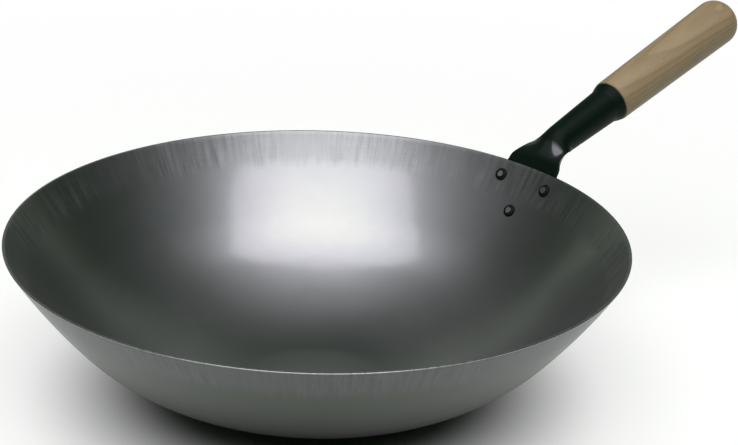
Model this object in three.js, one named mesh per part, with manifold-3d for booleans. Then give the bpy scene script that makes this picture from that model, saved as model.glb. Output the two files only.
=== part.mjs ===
// A 14 inch carbon-steel wok: one pressed bowl, a rolled steel handle socket that three rivets
// hold to the outside of its wall, and a turned wooden grip that a screw holds in the socket.
// Millimetres and degrees. +Z is up, +X runs along the handle, and the origin is the middle of
// the flat that the bowl stands on.
import * as THREE from "three";
import { mergeVertices } from "three/addons/utils/BufferGeometryUtils.js";
import Module from "manifold-3d";

// Bowl: a flat base and four tangent arcs up to the rim, measured on its outer face.
const RIM_RADIUS = 178;
const RIM_SLOPE = 59.2;
const WALL_RADIUS = 330;
const WALL_FOOT_SLOPE = 49.5;
const KNUCKLE_RADIUS = 116;
const KNUCKLE_FOOT_SLOPE = 29.7;
const BODY_FOOT_SLOPE = 11.3;
const FOOT_RADIUS = 40;
const BASE_RADIUS = 37;
const BOWL_SHEET = 1.5;

// Handle socket: a flange that lies on the wall, rolled into a tube above the rim.
const SOCKET_SHEET = 1.8;
const HANDLE_TILT = 19.5;
const AXIS_RISE = 5.1;
const SOCKET_REACH = 76.3;
const NECK_SLOPE = 54.5;
const NECK_RADIUS = 10.3;
const TUBE_END_RADIUS = 12.2;
const MOUTH_RADIUS = 13.8;
const FLARE_LENGTH = 7;
const BEND_RADIUS = 24;
const ROLL_START = 4.5;
const FLANGE_EDGE = 5.6;
const FLANGE_TIP_RADIUS = 9;
const SHOULDER_HALF_WIDTH = 21;
const THROAT_HALF_WIDTH = 16.6;
const THROAT_RISE = 11;
const SEAM_WIDTH = 1;

// Rivets: two near the rim and one below, each with a flat-topped head inside the bowl.
const UPPER_RIVET_SPAN = 38.1;
const UPPER_RIVET_DROP = 11;
const LOWER_RIVET_DROP = 31.6;
const RIVET_SHANK_RADIUS = 2.4;
const RIVET_HEAD_RADIUS = 4.1;
const RIVET_HEAD_HEIGHT = 1.4;
const RIVET_CROWN_RADIUS = 1.9;
const RIVET_TAIL_RADIUS = 4.3;
const RIVET_TAIL_HEIGHT = 2;

// Wooden grip: a body that swells towards its rounded butt, and a tapered tenon in the socket.
const GRIP_LENGTH = 125;
const GRIP_FRONT_RADIUS = 14.3;
const GRIP_REAR_RADIUS = 16.1;
const GRIP_EDGE_ROUND = 1.2;
const GRIP_BUTT_ROUND = 13;
const GRIP_BUTT_CROWN = 2.5;
const TENON_LENGTH = 42;

// Grip screw: a slotted round-head wood screw in the side of the socket.
const SCREW_SETBACK = 16;
const SCREW_SHANK_RADIUS = 1.5;
const SCREW_LENGTH = 10;
const SCREW_POINT = 2.5;
const SCREW_HEAD_RADIUS = 3;
const SCREW_HEAD_HEIGHT = 1.7;
const SLOT_WIDTH = 0.8;
const SLOT_DEPTH = 0.8;

// Clearance between pieces that seat on or pass through each other.
const FIT_GAP = 0.3;

// Facets: segments round each turned piece, and rows and columns of the rolled sheet.
const BOWL_SEGMENTS = 80;
const GRIP_SEGMENTS = 32;
const RIVET_SEGMENTS = 20;
const FOOT_STEPS = 2;
const BODY_STEPS = 6;
const KNUCKLE_STEPS = 6;
const WALL_STEPS = 4;
const SHEET_COLUMNS = 26;
const FLANGE_ROWS = 30;
const TUBE_ROWS = 4;
const FLARE_ROWS = 4;

const radians = THREE.MathUtils.degToRad;
const smoothstep = THREE.MathUtils.smoothstep;
const rimSlope = radians(RIM_SLOPE);
const neckSlope = radians(NECK_SLOPE);
const tilt = radians(HANDLE_TILT);

const wasm = await Module();
wasm.setup();

// Closed geometry as a solid that can be joined and cut.
function solidOf(geometry) {
  const bare = geometry.clone();
  bare.deleteAttribute("normal");
  bare.deleteAttribute("uv");
  const merged = mergeVertices(bare, 1e-4);
  return new wasm.Manifold(
    new wasm.Mesh({
      numProp: 3,
      vertProperties: merged.attributes.position.array,
      triVerts: new Uint32Array(merged.index.array),
    }),
  );
}

function geometryOf(solid) {
  const mesh = solid.getMesh();
  const geometry = new THREE.BufferGeometry();
  geometry.setAttribute("position", new THREE.BufferAttribute(mesh.vertProperties, 3));
  geometry.setIndex(new THREE.BufferAttribute(mesh.triVerts, 1));
  const facets = geometry.toNonIndexed();
  facets.computeVertexNormals();
  return facets;
}

function cut(geometry, tools) {
  const body = tools.reduce((left, tool) => left.subtract(solidOf(tool)), solidOf(geometry));
  return geometryOf(body);
}

// A turned piece about +Z from a profile of [radius, height] points.
function turned(profile, segments) {
  const points = profile.map(([radius, height]) => new THREE.Vector2(radius, height));
  return new THREE.LatheGeometry(points, segments).rotateX(Math.PI / 2);
}

// Points on a quarter-ellipse from (radius, height) at angle 0 to the axis side at 90 degrees.
function roundOver(fromRadius, toRadius, fromHeight, toHeight, steps) {
  return Array.from({ length: steps + 1 }, (_, i) => {
    const angle = (Math.PI / 2) * (i / steps);
    return [
      toRadius + (fromRadius - toRadius) * Math.cos(angle),
      fromHeight + (toHeight - fromHeight) * Math.sin(angle),
    ];
  });
}

function pieceMesh(name, geometry, material) {
  const mesh = new THREE.Mesh(geometry, material);
  mesh.name = name;
  return mesh;
}

// Materials
const carbonSteel = new THREE.MeshStandardMaterial({ color: 0x747a76, roughness: 0.3, metalness: 1 });
const blackEnamel = new THREE.MeshStandardMaterial({ color: 0x0b100d, roughness: 0.25, metalness: 0 });
const rivetSteel = new THREE.MeshStandardMaterial({ color: 0x2a2d2b, roughness: 0.4, metalness: 1 });
const paleWood = new THREE.MeshStandardMaterial({ color: 0xb9a27a, roughness: 0.55, metalness: 0 });
const screwSteel = new THREE.MeshStandardMaterial({ color: 0x8d8f90, roughness: 0.35, metalness: 1 });

// Bowl profile: the arcs from the base to the rim. Each starts at the slope where the one before it
// ends, and the body's arc has the radius that brings the last one to the rim.
const wallFootSlope = radians(WALL_FOOT_SLOPE);
const kneeSlope = radians(KNUCKLE_FOOT_SLOPE);
const footSlope = radians(BODY_FOOT_SLOPE);
const kneeRadius =
  RIM_RADIUS -
  WALL_RADIUS * (Math.sin(rimSlope) - Math.sin(wallFootSlope)) -
  KNUCKLE_RADIUS * (Math.sin(wallFootSlope) - Math.sin(kneeSlope));
const bodyFootRadius = BASE_RADIUS + FOOT_RADIUS * Math.sin(footSlope);
const bodyRadius = (kneeRadius - bodyFootRadius) / (Math.sin(kneeSlope) - Math.sin(footSlope));
const bowlArcs = [
  { radius: FOOT_RADIUS, start: 0, end: footSlope, steps: FOOT_STEPS },
  { radius: bodyRadius, start: footSlope, end: kneeSlope, steps: BODY_STEPS },
  { radius: KNUCKLE_RADIUS, start: kneeSlope, end: wallFootSlope, steps: KNUCKLE_STEPS },
  { radius: WALL_RADIUS, start: wallFootSlope, end: rimSlope, steps: WALL_STEPS },
];
let arcAxis = BASE_RADIUS;
let arcLevel = FOOT_RADIUS;
let radiusBelow = FOOT_RADIUS;
for (const arc of bowlArcs) {
  arcAxis += (radiusBelow - arc.radius) * Math.sin(arc.start);
  arcLevel -= (radiusBelow - arc.radius) * Math.cos(arc.start);
  Object.assign(arc, { axis: arcAxis, level: arcLevel });
  radiusBelow = arc.radius;
}
const wallArc = bowlArcs.at(-1);
const bowlHeight = wallArc.level - WALL_RADIUS * Math.cos(rimSlope);

// The outer face of the bowl, or a face a given depth inside it, from the base to the rim.
function bowlFace(depth) {
  const points = [[0, depth], [BASE_RADIUS, depth]];
  for (const { radius, start, end, steps, axis, level } of bowlArcs) {
    const reach = radius - depth;
    const stop = end === rimSlope ? Math.acos((level - bowlHeight) / reach) : end;
    for (let i = 1; i <= steps; i++) {
      const slope = THREE.MathUtils.lerp(start, stop, i / steps);
      points.push([axis + reach * Math.sin(slope), level - reach * Math.cos(slope)]);
    }
  }
  return points;
}

// A place on the outer face of the wall: a drop down the wall from the rim, and a distance round
// the bowl from the handle's plane. Its +Z axis points out of the wall.
function wallPlace(drop, aside) {
  const slope = rimSlope - drop / WALL_RADIUS;
  const radius = wallArc.axis + WALL_RADIUS * Math.sin(slope);
  const turn = new THREE.Group();
  turn.rotation.z = aside / radius;
  const place = new THREE.Group();
  place.position.set(radius, 0, wallArc.level - WALL_RADIUS * Math.cos(slope));
  place.rotation.y = Math.PI / 2 + (Math.PI / 2 - slope);
  turn.add(place);
  turn.updateMatrixWorld(true);
  return { turn, place };
}

const rivetPlaces = {
  rivet_upper_left: wallPlace(UPPER_RIVET_DROP, UPPER_RIVET_SPAN / 2),
  rivet_upper_right: wallPlace(UPPER_RIVET_DROP, -UPPER_RIVET_SPAN / 2),
  rivet_lower: wallPlace(LOWER_RIVET_DROP, 0),
};

// Drills for the rivet holes, long enough to pass the wall and the flange.
const drillLength = 4 * (BOWL_SHEET + SOCKET_SHEET);
const rivetDrills = Object.values(rivetPlaces).map(({ place }) =>
  new THREE.CylinderGeometry(
    RIVET_SHANK_RADIUS + FIT_GAP,
    RIVET_SHANK_RADIUS + FIT_GAP,
    drillLength,
    RIVET_SEGMENTS,
  )
    .rotateX(Math.PI / 2)
    .applyMatrix4(place.matrixWorld),
);

function makeBowl() {
  const profile = [...bowlFace(0), ...bowlFace(BOWL_SHEET).reverse()];
  const shell = turned(profile, BOWL_SEGMENTS);
  return pieceMesh("bowl", cut(shell, rivetDrills), carbonSteel);
}

function makeRivet(name) {
  const seatInside = -(BOWL_SHEET + FIT_GAP);
  const seatOutside = FIT_GAP + SOCKET_SHEET + FIT_GAP;
  const profile = [
    [0, seatInside - RIVET_HEAD_HEIGHT],
    ...roundOver(
      RIVET_HEAD_RADIUS,
      RIVET_CROWN_RADIUS,
      seatInside,
      seatInside - RIVET_HEAD_HEIGHT,
      4,
    ).reverse(),
    [RIVET_SHANK_RADIUS, seatInside],
    [RIVET_SHANK_RADIUS, seatOutside],
    ...roundOver(RIVET_TAIL_RADIUS, 0, seatOutside, seatOutside + RIVET_TAIL_HEIGHT, 5),
  ];
  const { turn, place } = rivetPlaces[name];
  place.add(pieceMesh(name, turned(profile, RIVET_SEGMENTS), rivetSteel));
  return turn;
}

// The handle's axis: a line in the XZ plane through a point above the rim.
const axisStart = new THREE.Vector3(RIM_RADIUS, 0, bowlHeight + AXIS_RISE);
const axisAlong = new THREE.Vector3(Math.cos(tilt), 0, Math.sin(tilt));
const axisUp = new THREE.Vector3(-Math.sin(tilt), 0, Math.cos(tilt));

function axisPoint(reach) {
  return axisStart.clone().addScaledVector(axisAlong, reach);
}

// A frame on the handle's axis with +Z along it, +X down and +Y to the handle's far side.
function axisPlace(reach) {
  const place = new THREE.Group();
  place.position.copy(axisPoint(reach));
  place.rotation.y = Math.PI / 2 - tilt;
  place.updateMatrixWorld(true);
  return place;
}

// The sheet's top line follows the wall, leans out a little at the rim, rises straight, bends, and
// goes along the top of the tube.
const rimOut = new THREE.Vector3(Math.sin(rimSlope), 0, -Math.cos(rimSlope));
const neckAlong = new THREE.Vector3(Math.cos(neckSlope), 0, Math.sin(neckSlope));
const neckOut = new THREE.Vector3(Math.sin(neckSlope), 0, -Math.cos(neckSlope));
const rimSeat = new THREE.Vector3(RIM_RADIUS, 0, bowlHeight).addScaledVector(rimOut, FIT_GAP);
const neckTop = axisStart.clone().addScaledVector(axisUp, NECK_RADIUS);
const cornerRise = neckTop.clone().sub(rimSeat).dot(axisUp) / neckAlong.dot(axisUp);
const bendAngle = neckSlope - tilt;
const bendStart = cornerRise - BEND_RADIUS * Math.tan(bendAngle / 2);
const bendEnd = bendStart + BEND_RADIUS * bendAngle;
const bendCentre = rimSeat
  .clone()
  .addScaledVector(neckAlong, bendStart)
  .addScaledVector(neckOut, BEND_RADIUS);
const bendEndReach = bendCentre.clone().sub(axisStart).dot(axisAlong);
const mouthRise = bendEnd + SOCKET_REACH - bendEndReach;

// Outer radius of the tube at a reach along the handle's axis.
function tubeRadius(reach) {
  const share = Math.max(0, (reach - bendEndReach) / (SOCKET_REACH - bendEndReach));
  const flare = smoothstep(reach, SOCKET_REACH - FLARE_LENGTH, SOCKET_REACH);
  const straight = THREE.MathUtils.lerp(NECK_RADIUS, TUBE_END_RADIUS, share);
  return straight + (MOUTH_RADIUS - TUBE_END_RADIUS) * flare;
}

// Point, slope and tube radius on the sheet's top line, at a distance along it from the rim.
function spineAt(rise) {
  if (rise <= 0) {
    const seat = WALL_RADIUS + FIT_GAP;
    const slope = rimSlope + rise / seat;
    const point = new THREE.Vector3(
      wallArc.axis + seat * Math.sin(slope),
      0,
      wallArc.level - seat * Math.cos(slope),
    );
    return { point, slope, radius: NECK_RADIUS };
  }
  if (rise <= bendStart) {
    const point = rimSeat.clone().addScaledVector(neckAlong, rise);
    return { point, slope: neckSlope, radius: NECK_RADIUS };
  }
  if (rise <= bendEnd) {
    const slope = neckSlope - (rise - bendStart) / BEND_RADIUS;
    const up = new THREE.Vector3(-Math.sin(slope), 0, Math.cos(slope));
    return { point: bendCentre.clone().addScaledVector(up, BEND_RADIUS), slope, radius: NECK_RADIUS };
  }
  const reach = bendEndReach + rise - bendEnd;
  const radius = tubeRadius(reach);
  return { point: axisPoint(reach).addScaledVector(axisUp, radius), slope: tilt, radius };
}

function tubeHalfWidth(radius) {
  return Math.PI * radius - SEAM_WIDTH / 2;
}

// An S-curve on a path, level at both ends.
function easeTo(path, fromX, fromY, toX, toY) {
  const middle = (fromX + toX) / 2;
  path.bezierCurveTo(middle, fromY, middle, toY, toX, toY);
}

// Half-width of the flat blank that the socket is pressed from, as [rise, half-width] rows: a
// round tip and corners about the rivets, shoulders at the rim, a throat, and then the tube.
function blankRows() {
  const tip = new THREE.Vector2(-LOWER_RIVET_DROP, 0);
  const corner = new THREE.Vector2(-UPPER_RIVET_DROP, UPPER_RIVET_SPAN / 2);
  const between = corner.clone().sub(tip);
  const flank =
    between.angle() + Math.acos((FLANGE_TIP_RADIUS - FLANGE_EDGE) / between.length());
  const blunt = 0.15;
  const cornerTop = radians(78);
  const edge = new THREE.Path();
  edge.absarc(tip.x, tip.y, FLANGE_TIP_RADIUS, Math.PI - blunt, flank, true);
  edge.absarc(corner.x, corner.y, FLANGE_EDGE, flank, cornerTop, true);
  edge.lineTo(0, SHOULDER_HALF_WIDTH);
  easeTo(edge, 0, SHOULDER_HALF_WIDTH, THROAT_RISE, THROAT_HALF_WIDTH);
  easeTo(edge, THROAT_RISE, THROAT_HALF_WIDTH, bendEnd, tubeHalfWidth(NECK_RADIUS));
  const rows = edge.getSpacedPoints(FLANGE_ROWS).map((p) => [p.x, p.y]);
  const stretch = (from, to, count) => {
    for (let i = 1; i <= count; i++) {
      const rise = THREE.MathUtils.lerp(from, to, i / count);
      rows.push([rise, tubeHalfWidth(spineAt(rise).radius)]);
    }
  };
  const flareStart = mouthRise - FLARE_LENGTH;
  stretch(bendEnd, flareStart, TUBE_ROWS);
  stretch(flareStart, mouthRise, FLARE_ROWS);
  return rows;
}

// A point on the sheet's upper face: the section hugs the wall below the rim, and rolls into a
// circle above it.
function sheetPoint(rise, aside) {
  const { point, slope, radius } = spineAt(rise);
  const roll = smoothstep(rise, ROLL_START, bendEnd);
  const hug = (aside * aside * Math.sin(rise < 0 ? slope : rimSlope)) / (2 * point.x);
  const lateral = THREE.MathUtils.lerp(aside, radius * Math.sin(aside / radius), roll);
  const lift = THREE.MathUtils.lerp(hug, radius * (Math.cos(aside / radius) - 1), roll);
  return new THREE.Vector3(
    point.x - lift * Math.sin(slope),
    lateral,
    point.z + lift * Math.cos(slope),
  );
}

function sheetNormal(rise, aside) {
  const step = 0.02;
  const along = sheetPoint(rise + step, aside).sub(sheetPoint(rise - step, aside));
  const across = sheetPoint(rise, aside + step).sub(sheetPoint(rise, aside - step));
  return along.cross(across).normalize();
}

// The socket's sheet as a closed body: an upper and a lower face joined round the edge.
function socketSheet() {
  const rows = blankRows();
  const columns = SHEET_COLUMNS + 1;
  const positions = [];
  for (const depth of [0, SOCKET_SHEET]) {
    for (const [rise, halfWidth] of rows) {
      for (let j = 0; j < columns; j++) {
        const aside = halfWidth * ((2 * j) / SHEET_COLUMNS - 1);
        const p = sheetPoint(rise, aside).addScaledVector(sheetNormal(rise, aside), -depth);
        positions.push(p.x, p.y, p.z);
      }
    }
  }
  const under = rows.length * columns;
  const at = (i, j) => i * columns + j;
  const index = [];
  const quad = (a, b, c, d) => index.push(a, b, c, a, c, d);
  for (let i = 0; i + 1 < rows.length; i++) {
    for (let j = 0; j < SHEET_COLUMNS; j++) {
      quad(at(i, j), at(i + 1, j), at(i + 1, j + 1), at(i, j + 1));
      quad(under + at(i, j), under + at(i, j + 1), under + at(i + 1, j + 1), under + at(i + 1, j));
    }
    const last = SHEET_COLUMNS;
    quad(at(i, 0), under + at(i, 0), under + at(i + 1, 0), at(i + 1, 0));
    quad(at(i, last), at(i + 1, last), under + at(i + 1, last), under + at(i, last));
  }
  const end = rows.length - 1;
  for (let j = 0; j < SHEET_COLUMNS; j++) {
    quad(at(0, j), at(0, j + 1), under + at(0, j + 1), under + at(0, j));
    quad(at(end, j), under + at(end, j), under + at(end, j + 1), at(end, j + 1));
  }
  const geometry = new THREE.BufferGeometry();
  geometry.setAttribute("position", new THREE.Float32BufferAttribute(positions, 3));
  geometry.setIndex(index);
  return geometry;
}

// The grip screw goes in square to the axis from the handle's far side.
const screwReach = SOCKET_REACH - SCREW_SETBACK;
const screwSeat = tubeRadius(screwReach) + FIT_GAP;
const screwPlace = axisPlace(screwReach);

function screwDrill(from, to) {
  const radius = SCREW_SHANK_RADIUS + FIT_GAP;
  return new THREE.CylinderGeometry(radius, radius, to - from, RIVET_SEGMENTS)
    .translate(0, (from + to) / 2, 0)
    .applyMatrix4(screwPlace.matrixWorld);
}

function makeSocket() {
  const screwHole = screwDrill(NECK_RADIUS / 2, 2 * MOUTH_RADIUS);
  return pieceMesh("handle_socket", cut(socketSheet(), [...rivetDrills, screwHole]), blackEnamel);
}

// The grip in its own frame: the socket's mouth is at height 0 and the butt is above it.
function gripProfile() {
  const tenonRadius = (reach) =>
    THREE.MathUtils.lerp(
      NECK_RADIUS,
      TUBE_END_RADIUS,
      (reach - bendEndReach) / (SOCKET_REACH - bendEndReach),
    ) - SOCKET_SHEET - FIT_GAP;
  const tenonTip = -TENON_LENGTH;
  const tenonTipRadius = tenonRadius(SOCKET_REACH - TENON_LENGTH);
  const shoulder = FIT_GAP;
  const roundStart = GRIP_LENGTH - GRIP_BUTT_ROUND;
  return [
    [0, tenonTip],
    [tenonTipRadius - GRIP_EDGE_ROUND, tenonTip],
    [tenonTipRadius, tenonTip + GRIP_EDGE_ROUND],
    [tenonRadius(SOCKET_REACH), shoulder],
    ...roundOver(
      GRIP_FRONT_RADIUS,
      GRIP_FRONT_RADIUS - GRIP_EDGE_ROUND,
      shoulder + GRIP_EDGE_ROUND,
      shoulder,
      3,
    ).reverse(),
    ...roundOver(
      GRIP_REAR_RADIUS,
      GRIP_REAR_RADIUS - GRIP_BUTT_ROUND,
      roundStart,
      GRIP_LENGTH - GRIP_BUTT_CROWN / 4,
      6,
    ),
    [0, GRIP_LENGTH],
  ];
}

function makeGrip() {
  const place = axisPlace(SOCKET_REACH);
  const body = turned(gripProfile(), GRIP_SEGMENTS);
  const pilot = screwDrill(screwSeat - SCREW_LENGTH - 2 * FIT_GAP, 2 * MOUTH_RADIUS).applyMatrix4(
    place.matrixWorld.clone().invert(),
  );
  place.add(pieceMesh("wooden_grip", cut(body, [pilot]), paleWood));
  return place;
}

// The screw in its own frame: its seat is at height 0 and its point is below it.
function makeScrew() {
  const profile = [
    [0, -SCREW_LENGTH],
    [SCREW_SHANK_RADIUS, SCREW_POINT - SCREW_LENGTH],
    [SCREW_SHANK_RADIUS, 0],
    ...roundOver(SCREW_HEAD_RADIUS, 0, 0, SCREW_HEAD_HEIGHT, 5),
  ];
  const slot = new THREE.BoxGeometry(3 * SCREW_HEAD_RADIUS, SLOT_WIDTH, 2 * SLOT_DEPTH).translate(
    0,
    0,
    SCREW_HEAD_HEIGHT,
  );
  const screw = pieceMesh("grip_screw", cut(turned(profile, RIVET_SEGMENTS), [slot]), screwSteel);
  screw.position.y = screwSeat;
  screw.rotation.x = -Math.PI / 2;
  screwPlace.add(screw);
  return screwPlace;
}

const wok = new THREE.Group();
wok.name = "wok";
wok.add(makeBowl(), makeSocket());
for (const name of Object.keys(rivetPlaces)) wok.add(makeRivet(name));
wok.add(makeGrip(), makeScrew());

export default wok;
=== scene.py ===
import math

import bpy
from mathutils import Matrix, Vector


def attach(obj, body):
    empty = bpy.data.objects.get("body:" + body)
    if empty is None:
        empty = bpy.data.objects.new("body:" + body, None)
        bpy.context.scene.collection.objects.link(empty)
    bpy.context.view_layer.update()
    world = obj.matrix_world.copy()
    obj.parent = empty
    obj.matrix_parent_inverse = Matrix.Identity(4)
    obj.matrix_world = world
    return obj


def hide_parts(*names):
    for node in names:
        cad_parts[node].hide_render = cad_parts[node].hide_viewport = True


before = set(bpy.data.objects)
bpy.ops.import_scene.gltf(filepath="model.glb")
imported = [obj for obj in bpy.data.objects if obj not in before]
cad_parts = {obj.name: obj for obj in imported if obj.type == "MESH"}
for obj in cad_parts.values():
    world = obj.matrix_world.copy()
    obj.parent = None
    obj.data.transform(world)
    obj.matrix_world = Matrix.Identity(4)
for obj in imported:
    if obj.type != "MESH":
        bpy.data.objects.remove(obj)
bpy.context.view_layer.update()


# Bowl
# One disc of 1.5 mm carbon steel, pressed over a die to a small flat base, a rounded body, a knuckle
# and a flared wall. Its rim is cut level and deburred, a band below the rim is brushed up the wall,
# and the bare metal is kept from rust by a film of oil.

RIM_RADIUS = 0.178
RIM_SLOPE = math.radians(59.2)
WALL_RADIUS = 0.330
WALL_FOOT_SLOPE = math.radians(49.5)
KNUCKLE_RADIUS = 0.116
KNUCKLE_FOOT_SLOPE = math.radians(29.7)
BODY_FOOT_SLOPE = math.radians(11.3)
FOOT_RADIUS = 0.040
BASE_RADIUS = 0.037
BOWL_SHEET = 0.0015
RIM_DEBURR_OUTSIDE = 0.0006
RIM_DEBURR_INSIDE = 0.0002
RIM_DEBURR_STEPS = 3
BOWL_SEGMENTS = 288

wall_foot_radius = RIM_RADIUS - WALL_RADIUS * (math.sin(RIM_SLOPE) - math.sin(WALL_FOOT_SLOPE))
knee_radius = wall_foot_radius - KNUCKLE_RADIUS * (math.sin(WALL_FOOT_SLOPE) - math.sin(KNUCKLE_FOOT_SLOPE))
body_foot_radius = BASE_RADIUS + FOOT_RADIUS * math.sin(BODY_FOOT_SLOPE)
body_radius = (knee_radius - body_foot_radius) / (math.sin(KNUCKLE_FOOT_SLOPE) - math.sin(BODY_FOOT_SLOPE))

# The arcs of the profile from the base to the rim. Each starts at the slope where the last one ends.
bowl_arcs = []
arc_axis = BASE_RADIUS
arc_level = FOOT_RADIUS
radius_below = FOOT_RADIUS
for arc_radius, start_slope, end_slope, arc_steps in (
    (FOOT_RADIUS, 0, BODY_FOOT_SLOPE, 8),
    (body_radius, BODY_FOOT_SLOPE, KNUCKLE_FOOT_SLOPE, 24),
    (KNUCKLE_RADIUS, KNUCKLE_FOOT_SLOPE, WALL_FOOT_SLOPE, 20),
    (WALL_RADIUS, WALL_FOOT_SLOPE, RIM_SLOPE, 22),
):
    arc_axis += (radius_below - arc_radius) * math.sin(start_slope)
    arc_level -= (radius_below - arc_radius) * math.cos(start_slope)
    bowl_arcs.append((arc_radius, start_slope, end_slope, arc_steps, arc_axis, arc_level))
    radius_below = arc_radius
wall_axis = arc_axis
wall_level = arc_level
bowl_height = wall_level - WALL_RADIUS * math.cos(RIM_SLOPE)


def between(start, end, share):
    return start + (end - start) * share


def bowl_face(inset):
    """Points (radius, height) along the outer face of the bowl, or a face set in from it, to the rim."""
    flat_steps = 5
    points = [(BASE_RADIUS * i / flat_steps, inset) for i in range(flat_steps + 1)]
    for radius, start, end, steps, axis, level in bowl_arcs:
        reach = radius - inset
        stop = math.acos((level - bowl_height) / reach) if end == RIM_SLOPE else end
        for i in range(1, steps + 1):
            slope = between(start, stop, i / steps)
            points.append((axis + reach * math.sin(slope), level - reach * math.cos(slope)))
    return points


def on_wall(drop, outset=0):
    """Point and slope on the wall at a distance down it from the rim, in the plane of the handle."""
    reach = WALL_RADIUS + outset
    slope = RIM_SLOPE - drop / reach
    return Vector((wall_axis + reach * math.sin(slope), 0, wall_level - reach * math.cos(slope))), slope


def ease_corner(points, at, reach, steps):
    """Rounds one corner of a list of points, starting and ending a reach away from it."""
    corner = Vector(points[at])
    start = corner + (Vector(points[at - 1]) - corner).normalized() * reach
    end = corner + (Vector(points[at + 1]) - corner).normalized() * reach
    eased = []
    for i in range(steps + 1):
        share = i / steps
        eased.append(tuple(start.lerp(corner, share).lerp(corner.lerp(end, share), share)))
    return points[:at] + eased + points[at + 1:]


# The profile runs up the outer face and down the inner one. Places along it are shares from 0 to 1,
# and the middle of the rim is halfway, because both faces have as many points.
outer_face = bowl_face(0)
inner_face = bowl_face(BOWL_SHEET)
bowl_profile = outer_face + inner_face[::-1]
bowl_profile = ease_corner(bowl_profile, len(outer_face), RIM_DEBURR_INSIDE, RIM_DEBURR_STEPS)
bowl_profile = ease_corner(bowl_profile, len(outer_face) - 1, RIM_DEBURR_OUTSIDE, RIM_DEBURR_STEPS)
profile_step = 1 / (len(bowl_profile) - 1)
rim_corner_start = (len(outer_face) - 1) * profile_step
rim_corner_end = rim_corner_start + RIM_DEBURR_STEPS * profile_step
rim_middle = 0.5


class Field:
    """One output of a node. Arithmetic adds Math nodes to its tree, and node() adds any other node."""

    def __init__(self, tree, socket=None):
        self.tree = tree
        self.socket = socket

    def node(self, kind, settings=None, inputs=None, out=0):
        """One output of a new node, after its settings and then its inputs are set or linked."""
        made = self.tree.nodes.new(kind)
        for name, value in (settings or {}).items():
            setattr(made, name, value)
        for name, value in (inputs or {}).items():
            if isinstance(value, Field):
                self.tree.links.new(value.socket, made.inputs[name])
            else:
                made.inputs[name].default_value = value
        return Field(self.tree, made.outputs[out] if len(made.outputs) else None)

    def other(self, name):
        """Another output of the same node."""
        return Field(self.tree, self.socket.node.outputs[name])

    def math(self, operation, *values):
        return self.node("ShaderNodeMath", {"operation": operation}, dict(enumerate(values)))

    def __add__(self, value):
        return self.math("ADD", self, value)

    def __radd__(self, value):
        return self.math("ADD", value, self)

    def __sub__(self, value):
        return self.math("SUBTRACT", self, value)

    def __rsub__(self, value):
        return self.math("SUBTRACT", value, self)

    def __mul__(self, value):
        return self.math("MULTIPLY", self, value)

    def __rmul__(self, value):
        return self.math("MULTIPLY", value, self)

    def __truediv__(self, value):
        return self.math("DIVIDE", self, value)

    def __rtruediv__(self, value):
        return self.math("DIVIDE", value, self)

    def ramp(self, low, high):
        """0 at or below low, 1 at or above high, and a smooth step between them."""
        limits = {"Value": self, "From Min": low, "From Max": high}
        return self.node("ShaderNodeMapRange", {"interpolation_type": "SMOOTHSTEP"}, limits)

    def mix(self, colour, other_colour):
        """A mix of two colours. A Mix node has them on its inputs 6 and 7 and its output 2."""
        return self.node("ShaderNodeMix", {"data_type": "RGBA"}, {0: self, 6: colour, 7: other_colour}, 2)

    def noise(self, place, scale, detail=2.0, roughness=0.5):
        sizes = {"Vector": place, "Scale": scale, "Detail": detail, "Roughness": roughness}
        return self.node("ShaderNodeTexNoise", {}, sizes, "Fac")

    def relief(self, height):
        """The surface's normal over a height in millimetres."""
        return self.node("ShaderNodeBump", {}, {"Strength": 1.0, "Distance": 0.001, "Height": height})


def new_finish(name):
    """An empty material, and the field that its nodes are made from."""
    material = bpy.data.materials.new(name)
    material.use_nodes = True
    material.node_tree.nodes.clear()
    return material, Field(material.node_tree)


def cover(field, shader_inputs):
    """Ends a material in one shader with these inputs."""
    shader = field.node("ShaderNodeBsdfPrincipled", {}, shader_inputs)
    field.node("ShaderNodeOutputMaterial", {}, {"Surface": shader})


def split(place):
    """The three coordinates of a place."""
    x = place.node("ShaderNodeSeparateXYZ", {}, {"Vector": place}, "X")
    return x, x.other("Y"), x.other("Z")


STEEL_LIGHT = (0.290, 0.299, 0.284, 1)
STEEL_DARK = (0.256, 0.271, 0.252, 1)
# Painted shade: the inside is darker at the bottom, which dims the base's reflection of the bright far wall.
STEEL_BOTTOM_SHADE = (0.192, 0.214, 0.190, 1)
# Painted shade: the outside of the same sheet is coloured far darker than the inside, and its brushed band
# is too.
STEEL_OUTSIDE_SHADED = (0.072, 0.085, 0.070, 1)
# Painted shade: the outside darkens to near black towards the foot.
STEEL_FOOT_SHADE = (0.008, 0.011, 0.008, 1)
BAND_OUTSIDE_SHADED = (0.096, 0.104, 0.102, 1)
RIM_BRIGHT = (0.34, 0.34, 0.34, 1)
BAND_SLOPE = math.radians(57)
BAND_END = (0.017, 0.026)
BAND_WANDER = 0.014
STREAK_STRETCH = 0.35
RING_STRETCH = 0.02
BOTTOM_SHADE_EDGE = (0.038, 0.085)
FOOT_SHADE_EDGE = (0.015, 0.074)
BODY_ROUGHNESS = 0.375
BAND_ROUGHNESS = 0.42
RIM_ROUGHNESS = 0.24
OIL_ROUGHNESS = 0.12

carbon_steel, field = new_finish("carbon_steel")
place = field.node("ShaderNodeTexCoord", out="Object")
x, y, z = split(place)
radius = field.math("SQRT", x * x + y * y)
drop = (bowl_height - z) / math.sin(BAND_SLOPE)
along = field.node("ShaderNodeAttribute", {"attribute_name": "along"}, out="Fac")
inside = along.ramp(rim_middle - 0.01, rim_middle + 0.01)
past_corner = along.ramp(rim_corner_end, rim_corner_end + profile_step)
rim = along.ramp(rim_corner_start, rim_corner_start + profile_step / 5) * (1 - past_corner)
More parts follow.
